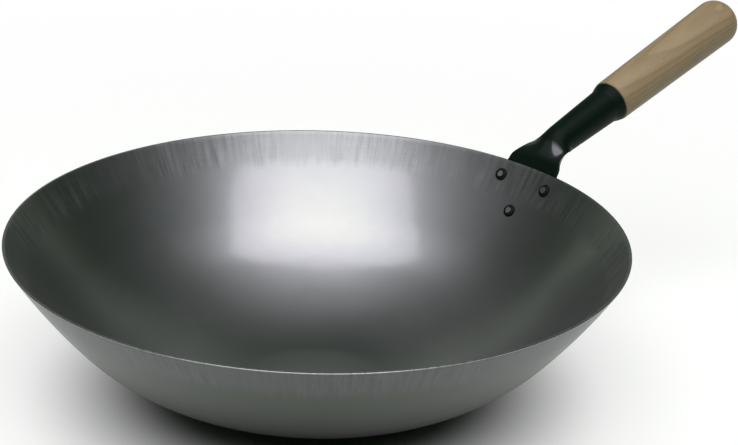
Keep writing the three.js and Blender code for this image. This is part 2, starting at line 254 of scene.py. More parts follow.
# The bottom of the inside, where shade is painted into the colour; the same mask also lowers the roughness
# and fades the oil coat there.
bottom = 1 - radius.ramp(*BOTTOM_SHADE_EDGE)
# Painted shade on the outside, rising from the foot; the oil coat outside also fades out towards the foot.
foot_shade = 1 - z.ramp(*FOOT_SHADE_EDGE)

east = x / radius
north = y / radius
around = field.node("ShaderNodeCombineXYZ", {}, {"X": east, "Y": north, "Z": drop * STREAK_STRETCH})
long_streaks = field.noise(around, scale=62, detail=4, roughness=0.62) - 0.5
fine_streaks = field.noise(around, scale=230, roughness=0.6) - 0.5
band_wander = (field.noise(around, scale=75, detail=3, roughness=0.65) - 0.5) * BAND_WANDER
band = 1 - (drop + band_wander).ramp(*BAND_END)
rings = field.node("ShaderNodeCombineXYZ", {}, {
    "X": east * RING_STRETCH,
    "Y": north * RING_STRETCH,
    "Z": drop,
})
ring_lines = field.noise(rings, scale=900, detail=3, roughness=0.6) - 0.5
smudges = field.noise(place, scale=14, detail=4, roughness=0.55) - 0.5
mottle = field.noise(place, scale=95, detail=3, roughness=0.55) - 0.5
worn = field.noise(place, scale=28).ramp(0.35, 0.65)

blotches = (smudges * 0.7 + mottle * 0.3).ramp(-0.25, 0.25)
inner_steel = bottom.mix(blotches.mix(STEEL_DARK, STEEL_LIGHT), STEEL_BOTTOM_SHADE)
# The outside's colour, painted darker than the inside and near black towards the foot: painted shade.
shaded_outer_steel = band.mix(foot_shade.mix(STEEL_OUTSIDE_SHADED, STEEL_FOOT_SHADE), BAND_OUTSIDE_SHADED)
steel = rim.mix(inside.mix(shaded_outer_steel, inner_steel), RIM_BRIGHT)
brushing = band * (0.35 + worn * 0.65) * (long_streaks * 1.2 + fine_streaks * 0.6 + ring_lines * 0.3)
body_roughness = BODY_ROUGHNESS + smudges * 0.08 - bottom * 0.02
roughness = body_roughness + band * (BAND_ROUGHNESS - BODY_ROUGHNESS + long_streaks * 0.2)
oil_inside = inside * (1 - band * 0.7)
oil_outside = (1 - inside) * (1 - foot_shade) * 0.16
brush_marks = band * (long_streaks * 0.020 + fine_streaks * 0.008)
press_marks = (1 - inside * 0.6) * ring_lines * 0.0025
cover(field, {
    "Base Color": field.node("ShaderNodeVectorMath", {"operation": "SCALE"}, {
        0: steel,
        "Scale": 1 + brushing,
    }),
    "Metallic": 1.0,
    "Roughness": roughness + rim * (RIM_ROUGHNESS - roughness),
    "Coat Weight": (1 - bottom) * (oil_inside + oil_outside),
    "Coat Roughness": OIL_ROUGHNESS,
    "Normal": field.relief(brush_marks + press_marks),
})


def named_inputs(tree, inputs):
    """Gives a node tree its inputs, and returns them by name."""
    return {name: tree.interface.new_socket(name, in_out="INPUT", socket_type=kind)
            for name, kind in inputs.items()}


# Turning: a row of points is copied round the vertical axis, and the seam and the poles are closed.
# Each point keeps its share of the way along the row and its distance from the axis.
turning = bpy.data.node_groups.new("turning", "GeometryNodeTree")
turning_inputs = named_inputs(turning, {
    "Profile": "NodeSocketGeometry",
    "Profile points": "NodeSocketInt",
    "Segments": "NodeSocketInt",
    "Finish": "NodeSocketMaterial",
})
turning.interface.new_socket("Turned piece", in_out="OUTPUT", socket_type="NodeSocketGeometry")
field = Field(turning)
given = field.node("NodeGroupInput", out="Profile")
count = given.other("Profile points")
segments = given.other("Segments")
sheet = field.node("GeometryNodeMeshGrid", {}, {"Vertices X": segments + 1, "Vertices Y": count}, "Mesh")
index = field.node("GeometryNodeInputIndex")
column = field.math("FLOOR", (index + 0.5) / count)
row = index - column * count
profile_place = field.node("GeometryNodeInputPosition")
sampled = field.node("GeometryNodeSampleIndex", {"data_type": "FLOAT_VECTOR"}, {
    "Geometry": given,
    "Value": profile_place,
    "Index": row,
})
profile_radius, _, profile_height = split(sampled)
angle = column / segments * math.tau
turned_place = field.node("ShaderNodeCombineXYZ", {}, {
    "X": profile_radius * field.math("COSINE", angle),
    "Y": profile_radius * field.math("SINE", angle),
    "Z": profile_height,
})
share_along = field.node("GeometryNodeStoreNamedAttribute", {"data_type": "FLOAT"}, {
    "Geometry": sheet,
    "Name": "along",
    "Value": row / (count - 1),
})
distance_out = field.node("GeometryNodeStoreNamedAttribute", {"data_type": "FLOAT"}, {
    "Geometry": share_along,
    "Name": "from_axis",
    "Value": profile_radius,
})
turned_sheet = field.node("GeometryNodeSetPosition", {}, {
    "Geometry": distance_out,
    "Position": turned_place,
})
closed = field.node("GeometryNodeMergeByDistance", {}, {"Geometry": turned_sheet, "Distance": 1e-6})
smooth = field.node("GeometryNodeSetShadeSmooth", {}, {"Geometry": closed})
whole = field.node("GeometryNodeRealizeInstances", {}, {"Geometry": smooth})
finished = field.node("GeometryNodeSetMaterial", {}, {"Geometry": whole, "Material": given.other("Finish")})
field.node("NodeGroupOutput", {}, {"Turned piece": finished})


def new_piece(name, mesh):
    piece = bpy.data.objects.new(name, mesh)
    bpy.context.scene.collection.objects.link(piece)
    return piece


def plain_mesh(piece):
    """Replaces a piece's mesh by what its modifiers make of it, and removes the modifiers."""
    graph = bpy.context.evaluated_depsgraph_get()
    mesh = bpy.data.meshes.new_from_object(piece.evaluated_get(graph), depsgraph=graph)
    mesh.name = piece.name
    piece.modifiers.clear()
    piece.data = mesh


def turn_piece(name, profile, segments, finish):
    """A piece turned about the vertical axis from (radius, height) points, bottom to top outside."""
    mesh = bpy.data.meshes.new(name + "_profile")
    edges = [(i, i + 1) for i in range(len(profile) - 1)]
    mesh.from_pydata([(radius, 0, height) for radius, height in profile], edges, [])
    piece = new_piece(name, mesh)
    lathe = piece.modifiers.new("turning", "NODES")
    lathe.node_group = turning
    lathe[turning_inputs["Profile points"].identifier] = len(profile)
    lathe[turning_inputs["Segments"].identifier] = segments
    lathe[turning_inputs["Finish"].identifier] = finish
    plain_mesh(piece)
    return piece


bowl = turn_piece("wok_bowl", bowl_profile, BOWL_SEGMENTS, carbon_steel)
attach(bowl, "root")
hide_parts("bowl")


# Handle socket
# One blank of 1.8 mm steel sheet, pressed and enamelled black. Its lower end lies on the outside of
# the wall, bends over the rim and is rolled into a tapered tube with a seam underneath. The enamel
# has run together on the bend, where it is glossy.

FIT_GAP = 0.0003
SOCKET_SHEET = 0.0018
HANDLE_TILT = math.radians(19.5)
AXIS_RISE = 0.0051
SOCKET_REACH = 0.0763
NECK_SLOPE = math.radians(54.5)
NECK_RADIUS = 0.0103
TUBE_END_RADIUS = 0.0122
MOUTH_RADIUS = 0.0138
FLARE_LENGTH = 0.007
BEND_RADIUS = 0.024
ROLL_START = 0.0045
ROLL_END = 0.031
FLANGE_EDGE = 0.0056
FLANGE_TIP_RADIUS = 0.009
SHOULDER_HALF_WIDTH = 0.0205
THROAT_HALF_WIDTH = 0.018
THROAT_RISE = 0.012
SEAM_WIDTH = 0.001
UPPER_RIVET_SPAN = 0.0381
UPPER_RIVET_DROP = 0.011
LOWER_RIVET_DROP = 0.0316
SHEET_EDGE_ROUND = 0.0004
SHEET_EDGE_STEPS = 3
SHEET_EDGE_ANGLE = math.radians(55)
SHEET_COLUMNS = 72
TIP_ROWS = 16
FLANK_ROWS = 16
CORNER_ROWS = 14
SHOULDER_ROWS = 4
THROAT_ROWS = 16
NECK_ROWS = 30
TUBE_ROWS = 14
FLARE_ROWS = 16

axis_start = Vector((RIM_RADIUS, 0, bowl_height + AXIS_RISE))
axis_along = Vector((math.cos(HANDLE_TILT), 0, math.sin(HANDLE_TILT)))
axis_up = Vector((-math.sin(HANDLE_TILT), 0, math.cos(HANDLE_TILT)))
neck_along = Vector((math.cos(NECK_SLOPE), 0, math.sin(NECK_SLOPE)))
neck_out = Vector((math.sin(NECK_SLOPE), 0, -math.cos(NECK_SLOPE)))
rim_seat, _ = on_wall(0, FIT_GAP)
neck_top = axis_start + axis_up * NECK_RADIUS
corner_rise = (neck_top - rim_seat).dot(axis_up) / neck_along.dot(axis_up)
bend_angle = NECK_SLOPE - HANDLE_TILT
bend_start = corner_rise - BEND_RADIUS * math.tan(bend_angle / 2)
bend_end = bend_start + BEND_RADIUS * bend_angle
bend_centre = rim_seat + neck_along * bend_start + neck_out * BEND_RADIUS
bend_end_reach = (bend_centre - axis_start).dot(axis_along)
mouth_rise = bend_end + SOCKET_REACH - bend_end_reach


def smooth_share(value, low, high):
    share = min(1, max(0, (value - low) / (high - low)))
    return share * share * (3 - 2 * share)


def tube_radius(reach):
    """Outer radius of the socket's tube at a reach along the handle's axis."""
    share = max(0, (reach - bend_end_reach) / (SOCKET_REACH - bend_end_reach))
    flare = smooth_share(reach, SOCKET_REACH - FLARE_LENGTH, SOCKET_REACH)
    return between(NECK_RADIUS, TUBE_END_RADIUS, share) + (MOUTH_RADIUS - TUBE_END_RADIUS) * flare


def spine_at(rise):
    """Point, slope and tube radius on the sheet's top line, at a distance along it from the rim."""
    if rise <= 0:
        return *on_wall(-rise, FIT_GAP), NECK_RADIUS
    if rise <= bend_start:
        return rim_seat + neck_along * rise, NECK_SLOPE, NECK_RADIUS
    if rise <= bend_end:
        slope = NECK_SLOPE - (rise - bend_start) / BEND_RADIUS
        up = Vector((-math.sin(slope), 0, math.cos(slope)))
        return bend_centre + up * BEND_RADIUS, slope, NECK_RADIUS
    reach = bend_end_reach + rise - bend_end
    radius = tube_radius(reach)
    return axis_start + axis_along * reach + axis_up * radius, HANDLE_TILT, radius


def sheet_point(rise, aside):
    """A point on the sheet's upper face, which hugs the wall below the rim and is rolled above it."""
    point, slope, radius = spine_at(rise)
    roll = smooth_share(rise, ROLL_START, ROLL_END)
    hug = aside * aside * math.sin(slope if rise < 0 else RIM_SLOPE) / (2 * point.x)
    lateral = between(aside, radius * math.sin(aside / radius), roll)
    lift = between(hug, radius * (math.cos(aside / radius) - 1), roll)
    return Vector((point.x - lift * math.sin(slope), lateral, point.z + lift * math.cos(slope)))


def sheet_normal(rise, aside):
    step = 2e-5
    along = sheet_point(rise + step, aside) - sheet_point(rise - step, aside)
    across = sheet_point(rise, aside + step) - sheet_point(rise, aside - step)
    return along.cross(across).normalized()


def tube_half_width(radius):
    return math.pi * radius - SEAM_WIDTH / 2


def arc(centre, radius, start, end, steps):
    angles = [between(start, end, i / steps) for i in range(steps + 1)]
    return [centre + Vector((math.cos(a), math.sin(a))) * radius for a in angles]


def s_curve(start, end, steps):
    """Points after start on a curve to end that is level at both ends."""
    middle = (start.x + end.x) / 2
    handles = [start, Vector((middle, start.y)), Vector((middle, end.y)), end]
    points = []
    for i in range(1, steps + 1):
        t = i / steps
        weights = [(1 - t) ** 3, 3 * t * (1 - t) ** 2, 3 * t * t * (1 - t), t ** 3]
        points.append(sum((h * w for h, w in zip(handles, weights)), Vector((0, 0))))
    return points


def blank_rows():
    """Half-width of the flat blank along its length: round tip, corners, shoulders, throat and tube."""
    tip = Vector((-LOWER_RIVET_DROP, 0))
    corner = Vector((-UPPER_RIVET_DROP, UPPER_RIVET_SPAN / 2))
    span = corner - tip
    flank = math.atan2(span.y, span.x) + math.acos((FLANGE_TIP_RADIUS - FLANGE_EDGE) / span.length)
    blunt_tip = 0.15
    corner_top = math.radians(78)
    shoulder = Vector((0, SHOULDER_HALF_WIDTH))
    throat = Vector((THROAT_RISE, THROAT_HALF_WIDTH))
    neck = Vector((bend_end, tube_half_width(NECK_RADIUS)))
    rows = arc(tip, FLANGE_TIP_RADIUS, math.pi - blunt_tip, flank, TIP_ROWS)
    flank_end = corner + Vector((math.cos(flank), math.sin(flank))) * FLANGE_EDGE
    rows += [rows[-1].lerp(flank_end, i / FLANK_ROWS) for i in range(1, FLANK_ROWS)]
    rows += arc(corner, FLANGE_EDGE, flank, corner_top, CORNER_ROWS)
    rows += [rows[-1].lerp(shoulder, i / SHOULDER_ROWS) for i in range(1, SHOULDER_ROWS + 1)]
    rows += s_curve(shoulder, throat, THROAT_ROWS)
    rows += s_curve(throat, neck, NECK_ROWS)
    flare_start = mouth_rise - FLARE_LENGTH
    rises = [between(bend_end, flare_start, i / TUBE_ROWS) for i in range(1, TUBE_ROWS + 1)]
    rises += [between(flare_start, mouth_rise, i / FLARE_ROWS) for i in range(1, FLARE_ROWS + 1)]
    return rows + [Vector((rise, tube_half_width(spine_at(rise)[2]))) for rise in rises]


def socket_mesh():
    """The socket's sheet as a closed body: an upper and a lower face joined round the edge."""
    rows = blank_rows()
    places = []
    edge_distance = []
    for depth in (0, SOCKET_SHEET):
        for row in rows:
            rise, half_width = row
            for j in range(SHEET_COLUMNS + 1):
                aside = half_width * (2 * j / SHEET_COLUMNS - 1)
                places.append(sheet_point(rise, aside) - sheet_normal(rise, aside) * depth)
                edge_distance.append(min(half_width - abs(aside), mouth_rise - rise))
    width = SHEET_COLUMNS + 1
    under = len(rows) * width
    faces = []
    for i in range(len(rows) - 1):
        for j in range(SHEET_COLUMNS):
            a, b, c, d = i * width + j, (i + 1) * width + j, (i + 1) * width + j + 1, i * width + j + 1
            faces.append((a, b, c, d))
            faces.append((under + a, under + d, under + c, under + b))
        first, after = i * width, (i + 1) * width
        faces.append((first, under + first, under + after, after))
        last, after_last = first + SHEET_COLUMNS, after + SHEET_COLUMNS
        faces.append((last, after_last, under + after_last, under + last))
    end = (len(rows) - 1) * width
    for j in range(SHEET_COLUMNS):
        faces.append((j, j + 1, under + j + 1, under + j))
        faces.append((end + j, under + end + j, under + end + j + 1, end + j + 1))
    mesh = bpy.data.meshes.new("handle_socket_sheet")
    mesh.from_pydata(places, [], faces)
    mesh.polygons.foreach_set("use_smooth", [True] * len(mesh.polygons))
    edge = mesh.attributes.new("edge_distance", "FLOAT", "POINT")
    edge.data.foreach_set("value", edge_distance)
    return mesh


ENAMEL_BLACK = (0.0015, 0.0080, 0.0035, 1)
ENAMEL_THIN = (0.014, 0.018, 0.015, 1)
ENAMEL_ROUGHNESS = 0.50
ENAMEL_IOR = 1.19
GLAZE_ROUGHNESS = 0.15
GLAZE_IOR = 1.65
GLAZE_START = (0.003, 0.009)
GLAZE_END = (0.013, 0.017)
THIN_EDGE = (0.0002, 0.0010)
THIN_EDGE_WANDER = 0.0012

black_enamel, field = new_finish("black_enamel")
place = field.node("ShaderNodeTexCoord", out="Object")
orange_peel = field.noise(place, scale=330)
runs = field.noise(place, scale=60, detail=3, roughness=0.6)
dust = field.noise(place, scale=1500, detail=1).ramp(0.68, 0.76)
edge = field.node("ShaderNodeAttribute", {"attribute_name": "edge_distance"}, out="Fac")
x, _, z = split(place)
reach = (x - axis_start.x) * axis_along.x + (z - axis_start.z) * axis_along.z
glaze = reach.ramp(*GLAZE_START) * (1 - reach.ramp(*GLAZE_END))
thin_edge = 1 - (edge + (runs - 0.5) * THIN_EDGE_WANDER).ramp(*THIN_EDGE)
thin = thin_edge * runs.ramp(0.45, 0.65)
cover(field, {
    "Base Color": thin.mix(ENAMEL_BLACK, ENAMEL_THIN),
    "Roughness": ENAMEL_ROUGHNESS + (runs - 0.5) * 0.10 + dust * 0.10 + thin * 0.2,
    "IOR": ENAMEL_IOR,
    "Coat Weight": glaze,
    "Coat Roughness": GLAZE_ROUGHNESS,
    "Coat IOR": GLAZE_IOR,
    "Normal": field.relief(orange_peel * 0.030 + runs * 0.10 + dust * 0.004),
})

handle_socket = new_piece("wok_handle_socket", socket_mesh())
rounding = handle_socket.modifiers.new("rounded_edges", "BEVEL")
rounding.width = SHEET_EDGE_ROUND
rounding.segments = SHEET_EDGE_STEPS
rounding.limit_method = "ANGLE"
rounding.angle_limit = SHEET_EDGE_ANGLE
handle_socket.modifiers.new("even_shading", "WEIGHTED_NORMAL")
handle_socket.data.materials.append(black_enamel)
plain_mesh(handle_socket)
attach(handle_socket, "root")
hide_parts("handle_socket")


# Rivets
# Three solid steel rivets through the wall and the socket's flange. Each has a low head with a
# flat crown inside the bowl and a formed head outside; the crowns are rubbed bare of their black.

RIVET_SHANK_RADIUS = 0.0024
RIVET_HEAD_RADIUS = 0.0041
RIVET_HEAD_HEIGHT = 0.0014
RIVET_CROWN_RADIUS = 0.0019
RIVET_CROWN_RING = 0.001045
RIVET_TAIL_RADIUS = 0.0043
RIVET_TAIL_HEIGHT = 0.0020
RIVET_SEGMENTS = 48
RIVET_PLACES = [
    (UPPER_RIVET_DROP, UPPER_RIVET_SPAN / 2),
    (UPPER_RIVET_DROP, -UPPER_RIVET_SPAN / 2),
    (LOWER_RIVET_DROP, 0),
]


def round_over(start, end, steps):
    """A quarter of an ellipse that leaves start upright and reaches end level."""
    points = []
    for i in range(steps + 1):
        angle = math.pi / 2 * i / steps
        radius = between(end[0], start[0], math.cos(angle))
        height = between(start[1], end[1], math.sin(angle))
        points.append((radius, height))
    return points


seat_inside = -(BOWL_SHEET + FIT_GAP)
seat_outside = FIT_GAP + SOCKET_SHEET + FIT_GAP
head_top = seat_inside - RIVET_HEAD_HEIGHT
rivet_head = round_over((RIVET_HEAD_RADIUS, seat_inside), (RIVET_CROWN_RADIUS, head_top), steps=8)
tail_top = seat_outside + RIVET_TAIL_HEIGHT
rivet_tail = round_over((RIVET_TAIL_RADIUS, seat_outside), (0, tail_top), steps=9)
rivet_shank = [(RIVET_SHANK_RADIUS, seat_inside), (RIVET_SHANK_RADIUS, seat_outside)]
rivet_crown = [(0, head_top), (RIVET_CROWN_RING, head_top)]
rivet_profile = rivet_crown + rivet_head[::-1] + rivet_shank + rivet_tail

RIVET_BLACK = (0.006, 0.008, 0.007, 1)
RIVET_BARE = (0.40, 0.42, 0.40, 1)
RIVET_BARE_EDGE = (0.0015, 0.0021)
RIVET_BARE_WANDER = 0.0012

rivet_steel, field = new_finish("rivet_steel")
place = field.node("ShaderNodeTexCoord", out="Object")
out_from_axis = field.node("ShaderNodeAttribute", {"attribute_name": "from_axis"}, out="Fac")
scuffs = field.noise(place, scale=700, detail=3, roughness=0.6)
bare = 1 - (out_from_axis + (scuffs - 0.5) * RIVET_BARE_WANDER).ramp(*RIVET_BARE_EDGE)
cover(field, {
    "Base Color": bare.mix(RIVET_BLACK, RIVET_BARE),
    "Metallic": bare,
    "Roughness": 0.62 - bare * 0.28 + (scuffs - 0.5) * 0.2,
    "Specular IOR Level": 0.10,
    "Normal": field.relief(scuffs * 0.03),
})

# Riveting: one rivet is set at each point of the wall, with its axis square to the wall there.
riveting = bpy.data.node_groups.new("riveting", "GeometryNodeTree")
riveting_inputs = named_inputs(riveting, {
    "Rivet places": "NodeSocketGeometry",
    "Rivet": "NodeSocketObject",
    "Finish": "NodeSocketMaterial",
})
riveting.interface.new_socket("Rivets", in_out="OUTPUT", socket_type="NodeSocketGeometry")
field = Field(riveting)
given = field.node("NodeGroupInput", out="Rivet places")
pattern = field.node("GeometryNodeObjectInfo", {}, {"Object": given.other("Rivet")}, "Geometry")
wall_normal = field.node("GeometryNodeInputNamedAttribute", {"data_type": "FLOAT_VECTOR"},
                         {"Name": "wall_normal"})
square_to_wall = field.node("FunctionNodeAlignRotationToVector", {"axis": "Z"}, {"Vector": wall_normal})
set_rivets = field.node("GeometryNodeInstanceOnPoints", {}, {
    "Points": given,
    "Instance": pattern,
    "Rotation": square_to_wall,
})
whole = field.node("GeometryNodeRealizeInstances", {}, {"Geometry": set_rivets})
finished = field.node("GeometryNodeSetMaterial", {}, {"Geometry": whole, "Material": given.other("Finish")})
field.node("NodeGroupOutput", {}, {"Rivets": finished})

rivet_points = []
rivet_normals = []
for rivet_drop, aside in RIVET_PLACES:
    rivet_place, slope = on_wall(rivet_drop)
    turn = Matrix.Rotation(aside / rivet_place.x, 3, "Z")
    rivet_points.append(turn @ rivet_place)
    rivet_normals += (turn @ Vector((math.sin(slope), 0, -math.cos(slope))))[:]
rivet_mesh = bpy.data.meshes.new("rivet_places")
rivet_mesh.from_pydata(rivet_points, [], [])
normal_attribute = rivet_mesh.attributes.new("wall_normal", "FLOAT_VECTOR", "POINT")
normal_attribute.data.foreach_set("vector", rivet_normals)
one_rivet = turn_piece("one_rivet", rivet_profile, RIVET_SEGMENTS, rivet_steel)
rivets = new_piece("wok_rivets", rivet_mesh)
setting = rivets.modifiers.new("riveting", "NODES")
setting.node_group = riveting
setting[riveting_inputs["Rivet"].identifier] = one_rivet
setting[riveting_inputs["Finish"].identifier] = rivet_steel
plain_mesh(rivets)
bpy.data.objects.remove(one_rivet)
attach(rivets, "root")
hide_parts("rivet_upper_left", "rivet_upper_right", "rivet_lower")


# Wooden grip
# A straight-grained pale hardwood, turned with a slight swell towards a rounded butt, sanded and
# thinly lacquered. A tapered tenon on its front end is driven into the socket.

GRIP_LENGTH = 0.1249
GRIP_FRONT_RADIUS = 0.0143
GRIP_REAR_RADIUS = 0.0161
GRIP_EDGE_ROUND = 0.0012
GRIP_BUTT_ROUND = 0.013
GRIP_BUTT_CROWN = 0.0025
TENON_LENGTH = 0.042
GRIP_BODY_STEPS = 20
GRIP_SEGMENTS = 112


def tenon_radius(reach):
    share = (reach - bend_end_reach) / (SOCKET_REACH - bend_end_reach)
    return between(NECK_RADIUS, TUBE_END_RADIUS, share) - SOCKET_SHEET - FIT_GAP


tenon_tip_radius = tenon_radius(SOCKET_REACH - TENON_LENGTH)
tenon = [
    (0, -TENON_LENGTH),
    (tenon_tip_radius - GRIP_EDGE_ROUND, -TENON_LENGTH),
    (tenon_tip_radius, GRIP_EDGE_ROUND - TENON_LENGTH),
    (tenon_radius(SOCKET_REACH), FIT_GAP),
]
front_inner = (GRIP_FRONT_RADIUS - GRIP_EDGE_ROUND, FIT_GAP)
front_edge = round_over((GRIP_FRONT_RADIUS, FIT_GAP + GRIP_EDGE_ROUND), front_inner, steps=6)[::-1]
butt_start = (GRIP_REAR_RADIUS, GRIP_LENGTH - GRIP_BUTT_ROUND)
butt_end = (GRIP_REAR_RADIUS - GRIP_BUTT_ROUND, GRIP_LENGTH - GRIP_BUTT_CROWN / 4)
butt = round_over(butt_start, butt_end, steps=16)
body_start = Vector(front_edge[-1])
body = [tuple(body_start.lerp(Vector(butt_start), i / GRIP_BODY_STEPS)) for i in range(1, GRIP_BODY_STEPS)]
grip_profile = tenon + front_edge + body + butt + [(0, GRIP_LENGTH)]

WOOD_LIGHT = (0.352, 0.273, 0.144, 1)
WOOD_DARK = (0.284, 0.215, 0.103, 1)
WOOD_PORE = (0.190, 0.130, 0.062, 1)
RING_WIDTH = 0.0027
RING_WANDER = 0.004
PITH_ASIDE = 0.014
PITH_BELOW = 0.052
PITH_SLOPE = 0.03

pale_wood, field = new_finish("pale_wood")
place = field.node("ShaderNodeTexCoord", out="Object")
mouth_place = axis_start + axis_along * SOCKET_REACH
grain = field.node("ShaderNodeMapping", {"vector_type": "TEXTURE"}, {
    "Vector": place,
    "Location": mouth_place,
    "Rotation": (0, -HANDLE_TILT, 0),
})
length, across, high = split(grain)


def drawn_out(shrink):
    """A place in the wood with its length shrunk, so that a pattern there is drawn out along the grain."""
    return field.node("ShaderNodeCombineXYZ", {}, {"X": length * shrink, "Y": across, "Z": high})


wander = field.noise(drawn_out(0.25), scale=45) - 0.5
pith_across = across - PITH_ASIDE
pith_high = high + PITH_BELOW + length * PITH_SLOPE
from_pith = field.math("SQRT", pith_across * pith_across + pith_high * pith_high)
ring_share = field.math("FRACT", (from_pith + wander * RING_WANDER) / RING_WIDTH)
late_wood = ring_share.ramp(0.35, 0.93) * (1 - ring_share.ramp(0.93, 1.0))
fibres = field.noise(drawn_out(0.035), scale=1300, detail=3, roughness=0.6)
pores = field.noise(drawn_out(0.07), scale=2100, detail=1).ramp(0.64, 0.74)
patches = field.noise(grain, scale=38)
tone = (late_wood * 0.55 + fibres * 0.35 + patches * 0.3 - 0.1).ramp(0.1, 0.95)
timber = tone.mix(WOOD_LIGHT, WOOD_DARK)
cover(field, {
    "Base Color": (pores * 0.7).mix(timber, WOOD_PORE),
    "Roughness": 0.46 + (fibres - 0.5) * 0.2 + pores * 0.2,
    "Specular IOR Level": 0.4,
    "Normal": field.relief(fibres * 0.030 - pores * 0.045 - late_wood * 0.012),
})

wooden_grip = turn_piece("wok_wooden_grip", grip_profile, GRIP_SEGMENTS, pale_wood)
along_handle = Matrix.Translation(mouth_place) @ Matrix.Rotation(math.pi / 2 - HANDLE_TILT, 4, "Y")
wooden_grip.data.transform(along_handle)
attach(wooden_grip, "root")
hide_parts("wooden_grip")


# Grip screw
# A zinc-plated slotted wood screw with a round head. It goes through the far side of the socket
# into the tenon, and keeps the grip from working loose.

SCREW_SETBACK = 0.016
SCREW_SHANK_RADIUS = 0.0015
SCREW_LENGTH = 0.010
SCREW_POINT = 0.0025
SCREW_HEAD_RADIUS = 0.003
SCREW_HEAD_HEIGHT = 0.0017
SLOT_WIDTH = 0.0008
SLOT_DEPTH = 0.0008
SCREW_SEGMENTS = 48

screw_head = round_over((SCREW_HEAD_RADIUS, 0), (0, SCREW_HEAD_HEIGHT), steps=10)
screw_shank = [
    (0, -SCREW_LENGTH),
    (SCREW_SHANK_RADIUS, SCREW_POINT - SCREW_LENGTH),
    (SCREW_SHANK_RADIUS, 0),
]

ZINC_LIGHT = (0.52, 0.53, 0.54, 1)
ZINC_DARK = (0.34, 0.35, 0.37, 1)

screw_steel, field = new_finish("screw_steel")
place = field.node("ShaderNodeTexCoord", out="Object")
clouding = field.noise(place, scale=420, detail=3, roughness=0.6)
handling = field.noise(place, scale=2600)
cover(field, {
    "Base Color": clouding.ramp(0.3, 0.7).mix(ZINC_DARK, ZINC_LIGHT),
    "Metallic": 1.0,
    "Roughness": 0.30 + (clouding - 0.5) * 0.25,
    "Normal": field.relief(handling * 0.01),
})

grip_screw = turn_piece("wok_grip_screw", screw_shank + screw_head, SCREW_SEGMENTS, screw_steel)
cutter_mesh = bpy.data.meshes.new("slot_cutter")
slot_reach = 2 * SCREW_HEAD_RADIUS
corners = [(sx * slot_reach, sy * SLOT_WIDTH / 2, SCREW_HEAD_HEIGHT + sz * SLOT_DEPTH)
           for sz in (-1, 1) for sy in (-1, 1) for sx in (-1, 1)]
sides = [(0, 2, 3, 1), (4, 5, 7, 6), (0, 1, 5, 4), (2, 6, 7, 3), (0, 4, 6, 2), (1, 3, 7, 5)]
cutter_mesh.from_pydata(corners, [], sides)
slot_cutter = new_piece("slot_cutter", cutter_mesh)
slot_cutter.data.materials.append(screw_steel)
slotting = grip_screw.modifiers.new("slot", "BOOLEAN")
slotting.operation = "DIFFERENCE"
slotting.solver = "EXACT"
slotting.object = slot_cutter
plain_mesh(grip_screw)
bpy.data.objects.remove(slot_cutter)
screw_reach = SOCKET_REACH - SCREW_SETBACK
screw_place = axis_start + axis_along * screw_reach + Vector((0, tube_radius(screw_reach) + FIT_GAP, 0))
square_to_socket = Matrix.Rotation(-HANDLE_TILT, 4, "Y") @ Matrix.Rotation(-math.pi / 2, 4, "X")
grip_screw.data.transform(Matrix.Translation(screw_place) @ square_to_socket)
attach(grip_screw, "root")
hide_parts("grip_screw")


# Floor
# A plain white studio floor, wide enough that no view sees its edge. It fades to an even white glow
# away from the wok. Under and close round the wok the glow is dimmed, as a painted shadow, and the
# wok's own shadow falls on the floor's colour there.

FLOOR_HALF_WIDTH = 14.0
FLOOR_WHITE = (0.416, 0.440, 0.387, 1)
FLOOR_GLOW = 0.63
# Painted shadow: the floor's glow is dimmed within these distances of the middle of the wok.
PAINTED_SHADOW_EDGE = (0.085, 0.180)
FLOOR_FADE = (0.35, 1.0)
BLACK = (0, 0, 0, 1)
WHITE = (1, 1, 1, 1)

floor_finish, field = new_finish("studio_floor")
place = field.node("ShaderNodeTexCoord", out="Object")
x, y, _ = split(place)
from_bowl = field.math("SQRT", x * x + y * y)
far = from_bowl.ramp(*FLOOR_FADE)
in_view = field.node("ShaderNodeLightPath", out="Is Camera Ray")
in_view = in_view + in_view.other("Is Glossy Ray") + in_view.other("Is Transmission Ray")
# The floor's glow, dimmed under and close round the wok as a painted shadow.
glow_with_painted_shadow = (FLOOR_GLOW * from_bowl.ramp(*PAINTED_SHADOW_EDGE) + far * (1 - FLOOR_GLOW)) * in_view
cover(field, {
    "Base Color": far.mix(FLOOR_WHITE, BLACK),
    "Roughness": 0.9,
    "Specular IOR Level": 0.0,
    "Emission Color": glow_with_painted_shadow.mix(BLACK, WHITE),
    "Emission Strength": 1.0,
})
floor_mesh = bpy.data.meshes.new("studio_floor")
w = FLOOR_HALF_WIDTH
floor_mesh.from_pydata([(-w, -w, 0), (w, -w, 0), (w, w, 0), (-w, w, 0)], [], [(0, 1, 2, 3)])
floor = new_piece("studio_floor", floor_mesh)
floor.data.materials.append(floor_finish)


# Light
# One large soft box overhead and towards the camera, brighter in its middle, with a dim ceiling on
# both sides of it. The room is dark, with a pale backdrop behind the wok.

CAMERA_AZIMUTH = math.radians(42.4)
camera_right = Vector((math.cos(CAMERA_AZIMUTH), -math.sin(CAMERA_AZIMUTH), 0))
towards_camera = Vector((-math.sin(CAMERA_AZIMUTH), -math.cos(CAMERA_AZIMUTH), 0))


def soft_box(name, middle, width, depth, radiance, colour):
    """A level rectangular lamp. Its middle is (to the right, towards the camera, height)."""
    lamp = bpy.data.lights.new(name, "AREA")
    lamp.shape = "RECTANGLE"
    lamp.size = width
    lamp.size_y = depth
    lamp.energy = radiance * math.pi * width * depth
    lamp.color = colour
    holder = bpy.data.objects.new(name, lamp)
    aside, forward, height = middle
    holder.location = camera_right * aside + towards_camera * forward + Vector((0, 0, height))
    holder.rotation_euler = (0, 0, -CAMERA_AZIMUTH)
    bpy.context.scene.collection.objects.link(holder)


